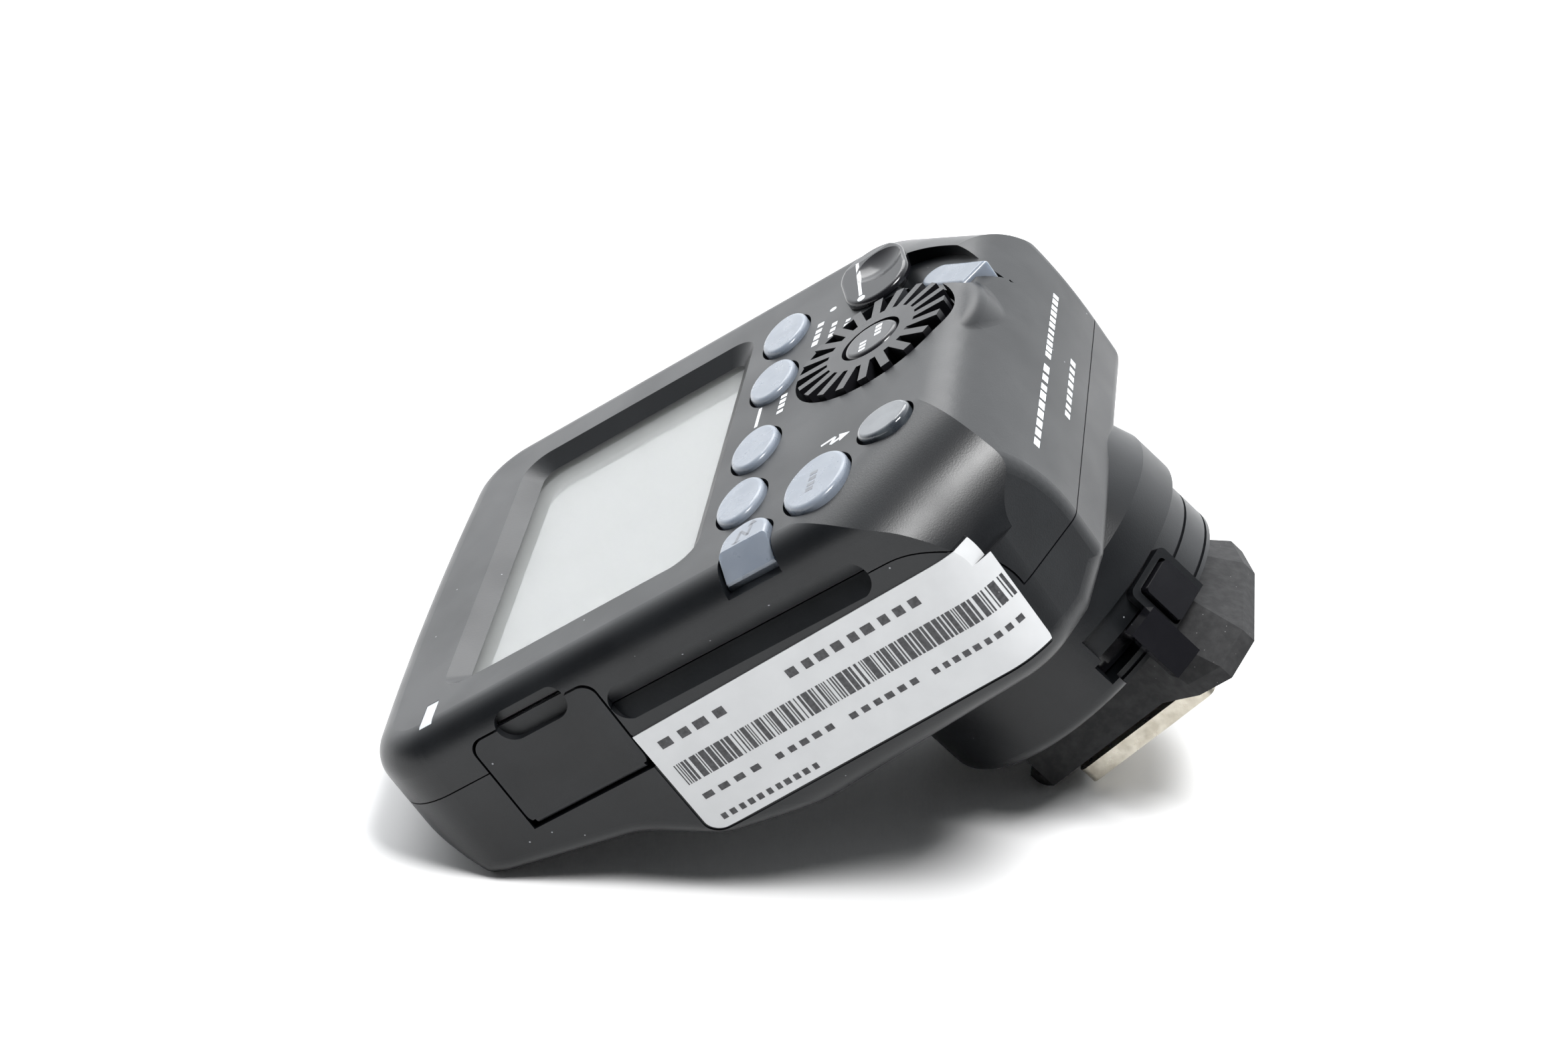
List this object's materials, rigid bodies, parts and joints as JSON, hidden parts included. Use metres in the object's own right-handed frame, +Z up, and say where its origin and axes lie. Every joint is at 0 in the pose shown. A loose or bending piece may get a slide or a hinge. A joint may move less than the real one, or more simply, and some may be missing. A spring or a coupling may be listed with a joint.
{
  "type": "wireless flash trigger",
  "caption": "Battery-powered wireless flash trigger with a display, keys, select dial and power lever on its sloping face and a lockable accessory-shoe foot in a rubber skirt.",
  "frame": {"origin": "middle of the lying unit's box, on the surface it lies on", "axes": "+Z up as the unit lies on its display end and foot; +Y from the keys towards the display end; +X to the right across the face seen from the front"},
  "size_m": [0.0674, 0.0916, 0.0526],
  "materials": {
    "case_plastic": "satin fine grain",
    "key_translucent": "translucent satin",
    "lamp_translucent": "translucent satin",
    "dial_plastic": "satin",
    "gloss_black": "gloss",
    "window_clear": "gloss",
    "display_grey": "satin",
    "white_diffuser": "matte",
    "lens_pale": "frosted",
    "keypad_rubber": "matte",
    "board_green": "solder mask",
    "module_can": "tin plated",
    "tray_plastic": "matte",
    "cell_wrap": "printed film",
    "spring_steel": "nickel plated",
    "socket_black": "matte",
    "foot_plastic": "matte",
    "insert_plastic": "matte",
    "shoe_metal": "nickel plated",
    "pin_metal": "nickel plated",
    "contact_gold": "plated",
    "skirt_rubber": "dusty matte",
    "screw_steel": "black oxide",
    "label_paper": "matte paper"
  },
  "bodies": {
    "case": {"backlight": "white_diffuser", "battery_cell_1": "cell_wrap", "battery_cell_2": "cell_wrap", "battery_contacts": "spring_steel", "battery_tray": "tray_plastic", "case_screws": "screw_steel", "contact_insert": "insert_plastic", "display_glass": "window_clear", "display_panel": "display_grey", "door_pin": "spring_steel", "foot_block": "foot_plastic", "foot_screws": "screw_steel", "keypad_sheet": "keypad_rubber", "link_lens": "lens_pale", "lower_case": "case_plastic", "main_board": "board_green", "paper_label": "label_paper", "radio_module": "module_can", "remote_socket": "socket_black", "rubber_skirt": "skirt_rubber", "shoe_plate": "shoe_metal", "upper_case": "case_plastic"},
    "function_key_1": {"function_key_1": "key_translucent"},
    "function_key_2": {"function_key_2": "key_translucent"},
    "function_key_3": {"function_key_3": "key_translucent"},
    "function_key_4": {"function_key_4": "key_translucent"},
    "mode_key": {"mode_key": "key_translucent"},
    "lamp_key": {"lamp_key": "lamp_translucent"},
    "radio_key": {"radio_key": "key_translucent"},
    "back_key": {"back_key": "key_translucent"},
    "set_key": {"set_key": "gloss_black"},
    "dial": {"select_dial": "dial_plastic"},
    "lever": {"power_lever": "gloss_black"},
    "door": {"battery_door": "case_plastic", "door_contact": "spring_steel"},
    "cover": {"terminal_cover": "case_plastic"},
    "lock_ring": {"lock_lever": "gloss_black"},
    "lock_pin": {"lock_pin": "pin_metal"},
    "release_key": {"release_key": "gloss_black"},
    "centre_contact": {"centre_contact": "contact_gold"},
    "data_contacts": {"data_contacts": "contact_gold"}
  },
  "joints": [
    {"name": "function_key_1_press", "type": "slide", "parent": "case", "child": "function_key_1", "axis": [0, -0.563, -0.8264], "range_m": [0, 0.0007], "stiffness_N_per_m": 300, "springref_m": -0.0008},
    {"name": "function_key_2_press", "type": "slide", "parent": "case", "child": "function_key_2", "axis": [0, -0.563, -0.8264], "range_m": [0, 0.0007], "stiffness_N_per_m": 300, "springref_m": -0.0008},
    {"name": "function_key_3_press", "type": "slide", "parent": "case", "child": "function_key_3", "axis": [0, -0.563, -0.8264], "range_m": [0, 0.0007], "stiffness_N_per_m": 300, "springref_m": -0.0008},
    {"name": "function_key_4_press", "type": "slide", "parent": "case", "child": "function_key_4", "axis": [0, -0.563, -0.8264], "range_m": [0, 0.0007], "stiffness_N_per_m": 300, "springref_m": -0.0008},
    {"name": "mode_key_press", "type": "slide", "parent": "case", "child": "mode_key", "axis": [0, -0.563, -0.8264], "range_m": [0, 0.0007], "stiffness_N_per_m": 300, "springref_m": -0.0008},
    {"name": "lamp_key_press", "type": "slide", "parent": "case", "child": "lamp_key", "axis": [0, -0.563, -0.8264], "range_m": [0, 0.0007], "stiffness_N_per_m": 300, "springref_m": -0.0008},
    {"name": "radio_key_press", "type": "slide", "parent": "case", "child": "radio_key", "axis": [0, -0.563, -0.8264], "range_m": [0, 0.0007], "stiffness_N_per_m": 300, "springref_m": -0.0008},
    {"name": "back_key_press", "type": "slide", "parent": "case", "child": "back_key", "axis": [0, -0.563, -0.8264], "range_m": [0, 0.0007], "stiffness_N_per_m": 300, "springref_m": -0.0008},
    {"name": "set_key_press", "type": "slide", "parent": "case", "child": "set_key", "axis": [0, -0.563, -0.8264], "range_m": [0, 0.0007], "stiffness_N_per_m": 300, "springref_m": -0.0008},
    {"name": "dial_turn", "type": "hinge", "parent": "case", "child": "dial", "pos_m": [0.004, -0.00382, 0.04666], "axis": [0, 0.563, 0.8264], "continuous": true},
    {"name": "lever_turn", "type": "hinge", "parent": "case", "child": "lever", "pos_m": [0.0208, -0.00283, 0.04598], "axis": [0, 0.563, 0.8264], "range_deg": [-40, 0]},
    {"name": "door_swing", "type": "hinge", "parent": "case", "child": "door", "pos_m": [0.0323, 0.00952, 0.01651], "axis": [0, 0.563, 0.8264], "range_deg": [0, 90]},
    {"name": "cover_swing", "type": "hinge", "parent": "case", "child": "cover", "pos_m": [-0.03295, 0.02157, 0.01236], "axis": [0, -0.8264, 0.563], "range_deg": [0, 100]},
    {"name": "lock_turn", "type": "hinge", "parent": "case", "child": "lock_ring", "pos_m": [0, -0.02598, 0.01587], "axis": [0, 0.7153, 0.6988], "range_deg": [-14, 0]},
    {"name": "lock_pin_slide", "type": "slide", "parent": "case", "child": "lock_pin", "axis": [0, 0.7153, 0.6988], "range_m": [0, 0.00122]},
    {"name": "release_press", "type": "slide", "parent": "case", "child": "release_key", "axis": [0.5948, 0.5618, -0.575], "range_m": [0, 0.0009], "stiffness_N_per_m": 300, "springref_m": -0.0008},
    {"name": "centre_contact_press", "type": "slide", "parent": "case", "child": "centre_contact", "axis": [0, 0.7153, 0.6988], "range_m": [0, 0.0005], "stiffness_N_per_m": 300, "springref_m": -0.0008},
    {"name": "data_contacts_press", "type": "slide", "parent": "case", "child": "data_contacts", "axis": [0, 0.7153, 0.6988], "range_m": [0, 0.0005], "stiffness_N_per_m": 300, "springref_m": -0.0008}
  ],
  "couplings": [
    {"joint": "lock_pin_slide", "follows": "lock_turn", "m_per_rad": -0.00491}
  ]
}
